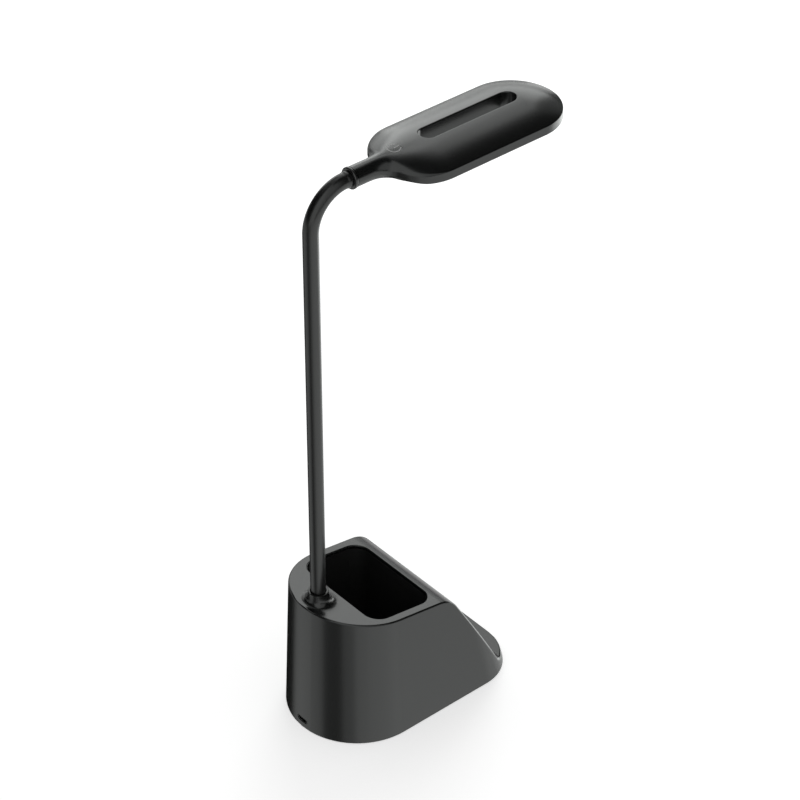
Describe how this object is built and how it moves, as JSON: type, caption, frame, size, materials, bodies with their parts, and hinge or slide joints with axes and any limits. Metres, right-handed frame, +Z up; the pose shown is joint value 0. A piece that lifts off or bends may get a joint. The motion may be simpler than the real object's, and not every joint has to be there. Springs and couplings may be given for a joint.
{
  "type": "desk lamp with pen holder",
  "caption": "Desk lamp with a flat pill-shaped head on a bendable gooseneck, and a weighted base with a deep pen well and a sloped rest that a phone leans on.",
  "frame": {"origin": "middle of the base's footprint, on the desk, at the underside of the non-slip pad", "axes": "+X from the gooseneck's side of the base to the ledge and the head's tip, +Y to the left of that, +Z up"},
  "size_m": [0.1932, 0.09, 0.3896],
  "materials": {
    "satin_black": "satin",
    "well_black": "matte",
    "cover_black": "matte",
    "pad_rubber": "matte",
    "ballast_iron": "rough",
    "screw_steel": "satin",
    "cell_wrap": "satin",
    "board_green": "satin",
    "socket_steel": "satin",
    "lead_jacket": "satin",
    "sleeve_black": "satin",
    "core_steel": "satin",
    "black_steel": "gloss",
    "milky_white": "satin",
    "board_white": "satin",
    "copper": "satin"
  },
  "bodies": {
    "base": {"base_housing": "satin_black", "pen_cup": "well_black", "bottom_cover": "cover_black", "non_slip_pad": "pad_rubber", "ballast_weight": "ballast_iron", "cover_screw_1": "screw_steel", "cover_screw_2": "screw_steel", "cover_screw_3": "screw_steel", "cover_screw_4": "screw_steel", "battery_cell": "cell_wrap", "charging_board": "board_green", "usb_socket": "socket_steel", "battery_lead": "lead_jacket", "lamp_lead_base": "lead_jacket", "stem_ferrule": "screw_steel", "ferrule_screw_1": "screw_steel", "ferrule_screw_2": "screw_steel", "gooseneck_sleeve_1": "sleeve_black", "gooseneck_core_1": "core_steel"},
    "neck_link_2": {"gooseneck_sleeve_2": "sleeve_black", "gooseneck_core_2": "core_steel"},
    "neck_link_3": {"gooseneck_sleeve_3": "sleeve_black", "gooseneck_core_3": "core_steel"},
    "neck_link_4": {"gooseneck_sleeve_4": "sleeve_black", "gooseneck_core_4": "core_steel"},
    "neck_link_5": {"gooseneck_sleeve_5": "sleeve_black", "gooseneck_core_5": "core_steel"},
    "neck_link_6": {"gooseneck_sleeve_6": "sleeve_black", "gooseneck_core_6": "core_steel"},
    "neck_link_7": {"gooseneck_sleeve_7": "sleeve_black", "gooseneck_core_7": "core_steel"},
    "neck_link_8": {"gooseneck_sleeve_8": "sleeve_black", "gooseneck_core_8": "core_steel"},
    "head": {"neck_ferrule": "black_steel", "neck_clip": "screw_steel", "head_shell": "satin_black", "head_diffuser": "milky_white", "light_board": "board_white", "light_screw_1": "screw_steel", "light_screw_2": "screw_steel", "light_screw_3": "screw_steel", "light_screw_4": "screw_steel", "touch_contact": "copper", "lamp_lead_head": "lead_jacket"}
  },
  "joints": [
    {"name": "neck_bend_1", "type": "hinge", "parent": "base", "child": "neck_link_2", "pos_m": [-0.0568, 0, 0.112], "axis": [0, 1, 0], "range_deg": [-25, 25]},
    {"name": "neck_bend_2", "type": "hinge", "parent": "neck_link_2", "child": "neck_link_3", "pos_m": [-0.0568, 0, 0.157], "axis": [1, 0, 0], "range_deg": [-25, 25]},
    {"name": "neck_bend_3", "type": "hinge", "parent": "neck_link_3", "child": "neck_link_4", "pos_m": [-0.0568, 0, 0.202], "axis": [0, 1, 0], "range_deg": [-25, 25]},
    {"name": "neck_bend_4", "type": "hinge", "parent": "neck_link_4", "child": "neck_link_5", "pos_m": [-0.0568, 0, 0.247], "axis": [1, 0, 0], "range_deg": [-25, 25]},
    {"name": "neck_bend_5", "type": "hinge", "parent": "neck_link_5", "child": "neck_link_6", "pos_m": [-0.0568, 0, 0.292], "axis": [0, 1, 0], "range_deg": [-25, 25]},
    {"name": "neck_bend_6", "type": "hinge", "parent": "neck_link_6", "child": "neck_link_7", "pos_m": [-0.0568, 0, 0.337], "axis": [1, 0, 0], "range_deg": [-25, 25]},
    {"name": "head_nod", "type": "hinge", "parent": "neck_link_7", "child": "neck_link_8", "pos_m": [-0.04954, 0, 0.37514], "axis": [0, 1, 0], "range_deg": [-35, 35]},
    {"name": "head_turn", "type": "hinge", "parent": "neck_link_8", "child": "head", "pos_m": [-0.0311, 0, 0.3824], "axis": [0, 0, 1], "range_deg": [-35, 35]}
  ]
}
